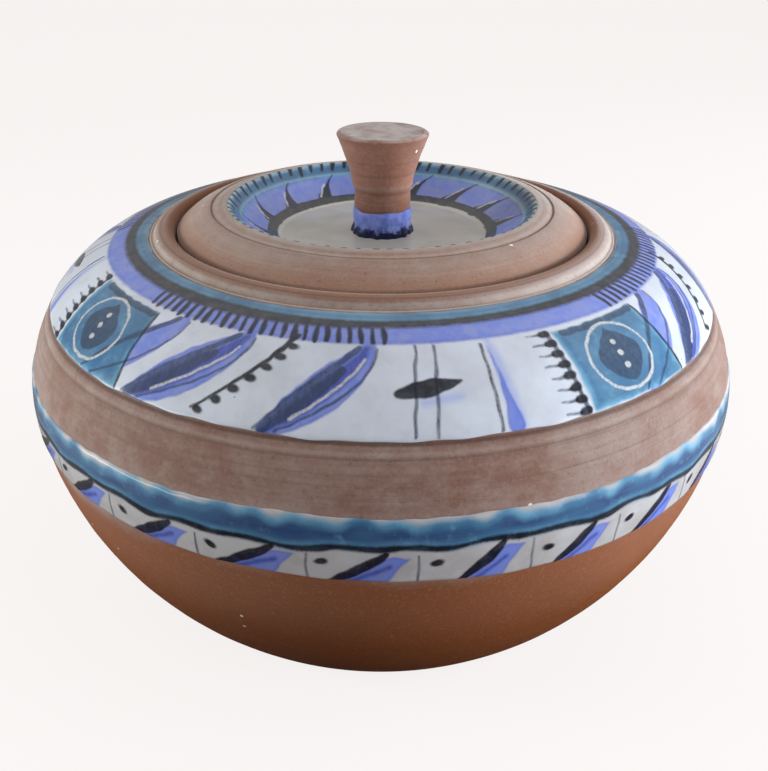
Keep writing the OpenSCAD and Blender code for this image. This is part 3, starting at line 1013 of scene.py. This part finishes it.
def floor():
    """A plain pale floor, wide enough for any view.  The light that it throws back on the pot
    comes mostly from its two sides."""
    mesh = bpy.data.meshes.new("floor")
    reach = 12.0
    corners = [(-reach, -reach, 0), (reach, -reach, 0), (reach, reach, 0), (-reach, reach, 0)]
    mesh.from_pydata(corners, [], [(0, 1, 2, 3)])
    piece = bpy.data.objects.new("floor", mesh)
    bpy.context.scene.collection.objects.link(piece)
    s = material_nodes("pale_floor")
    paper = s.node("BsdfDiffuse", {"Color": (0.1, 0.097, 0.096, 1)}).outputs[0]
    glow = s.node("Emission", {"Color": BACKDROP, "Strength": 0.89}).outputs[0]
    seen = s.node("AddShader", {0: paper, 1: glow}).outputs[0]
    aside = s.maths("ABSOLUTE", s.node("SeparateXYZ", {0: s.place()}).outputs[0])
    bounce = s.mix(s.span(aside, 120, 400), (0.1, 0.07, 0.05, 1), (0.5, 0.48, 0.47, 1))
    dull = s.node("BsdfDiffuse", {"Color": bounce}).outputs[0]
    camera_ray = s.node("LightPath").outputs["Is Camera Ray"]
    floor_shader = s.node("MixShader", {0: camera_ray, 1: dull, 2: seen}).outputs[0]
    s.node("OutputMaterial", {"Surface": floor_shader})
    mesh.materials.append(s.owner)


def lamp(name, location, size, power, colour, mirrored=True):
    """A soft rectangular lamp that points at the pot.  Glaze mirrors it only if mirrored."""
    light = bpy.data.lights.new(name, "AREA")
    light.shape = "RECTANGLE"
    light.size, light.size_y = size
    light.energy = power
    light.color = colour
    made = bpy.data.objects.new(name, light)
    made.location = location
    way = Vector(LAMPS_AIM) - Vector(location)
    made.rotation_euler = way.to_track_quat("-Z", "Y").to_euler()
    made.visible_camera = False
    made.visible_glossy = mirrored
    bpy.context.scene.collection.objects.link(made)


def studio():
    """Soft light from behind and the sides, dimmer from the front and from straight above, in
    front of a plain pale wall.  A lamp on each side gives light without a reflection, two in
    the same places give the reflections, and one low on the left fills in."""
    world = bpy.data.worlds.new("studio")
    s = Shader(world)
    _, back, up = s.node("SeparateXYZ", {0: s.node("TexCoord").outputs["Generated"]}).outputs
    strength = s.times(s.span(up, 0, 1, 0.24, 1.0), s.span(back, -1.0, 0.3, 0.3, 1.1))
    strength = s.times(strength, s.span(up, 0.75, 1, 1.0, 0.62))
    sky = s.node("Background", {0: (1.0, 0.98, 0.97, 1), 1: strength}).outputs[0]
    wall = s.node("Background", {0: BACKDROP, 1: 0.95}).outputs[0]
    camera_ray = s.node("LightPath").outputs["Is Camera Ray"]
    s.node("OutputWorld", {0: s.node("MixShader", {0: camera_ray, 1: sky, 2: wall}).outputs[0]})
    bpy.context.scene.world = world
    left, left_size = (-0.8, -0.12, 0.2), (0.24, 0.4)
    right, right_size = (1.0, -0.16, 0.2), (1.3, 0.5)
    lamp("left", left, left_size, 3.0, (0.9, 1, 0.98), False)
    lamp("left_glint", left, left_size, 3.4, (0.9, 1, 0.98))
    lamp("right", right, right_size, 27.0, (0.84, 0.95, 1), False)
    lamp("low_left", (-0.5, -0.22, 0.02), (0.4, 0.1), 0.6, (0.92, 0.98, 1))
    lamp("right_glint", right, right_size, 8.0, (0.9, 0.96, 1))
    bpy.context.scene.view_settings.view_transform = "Standard"


def camera():
    """The view of the object from the front, 28 degrees above it and close to it."""
    data = bpy.data.cameras.new("camera")
    data.sensor_width = 36.0
    data.lens = CAMERA_LENS
    data.clip_start = 0.01
    made = bpy.data.objects.new("camera", data)
    made.location = CAMERA_PLACE
    tilt = Matrix.Rotation(math.radians(90 - CAMERA_DOWN), 3, "X")
    roll = Matrix.Rotation(math.radians(CAMERA_ROLL), 3, "Z")
    made.rotation_euler = (tilt @ roll).to_euler()
    bpy.context.scene.collection.objects.link(made)
    bpy.context.scene.camera = made


# ---------------------------------------------------------------- the object

def fit(piece, material, body, node):
    """Gives a piece its material and its place in the frame, where it stands for a CAD node."""
    piece.data.materials.append(material)
    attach(piece, body)
    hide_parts(node)


def build():
    """Every piece of the pot and the lid, with its material."""
    painted = enamel("shoulder_enamel", srgb(196, 198, 209), srgb(184, 185, 195), 0.8, 0.6)
    banded = enamel("belly_enamel", srgb(176, 171, 174), srgb(160, 153, 152), 0.9, 1.0)
    cream = enamel("well_enamel", srgb(194, 190, 182), srgb(182, 178, 168), 2.2, 0.8)
    pot = clay("pot_earthenware", srgb(140, 115, 107), srgb(122, 88, 77),
               srgb(158, 140, 133), pot_tint)
    lid = clay("lid_earthenware", srgb(148, 124, 114), srgb(144, 110, 96),
               srgb(166, 148, 138), lid_tint)
    knob = clay("knob_earthenware", srgb(122, 84, 72), srgb(126, 82, 64),
                srgb(148, 110, 96), knob_tint)
    fit(pot_clay(), pot, "pot", "pot_body")
    fit(shoulder_coat(), painted, "pot", "shoulder_glaze")
    fit(belly_coat(), banded, "pot", "belly_glaze")
    fit(inside_coat(), inside_enamel(), "pot", "interior_glaze")
    fit(lid_clay(), lid, "lid", "lid_body")
    fit(well_coat(), cream, "lid", "lid_glaze")
    fit(knob_clay(), knob, "lid", "lid_knob")
    fit(collar_coat(), collar_enamel(), "lid", "knob_glaze")


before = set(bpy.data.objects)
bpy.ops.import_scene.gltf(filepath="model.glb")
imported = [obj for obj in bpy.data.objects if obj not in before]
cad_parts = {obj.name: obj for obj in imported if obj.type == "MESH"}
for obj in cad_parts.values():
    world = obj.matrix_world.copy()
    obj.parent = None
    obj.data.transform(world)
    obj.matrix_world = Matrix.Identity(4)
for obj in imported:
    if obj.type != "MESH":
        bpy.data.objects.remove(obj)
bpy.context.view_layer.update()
camera()
floor()
studio()
build()
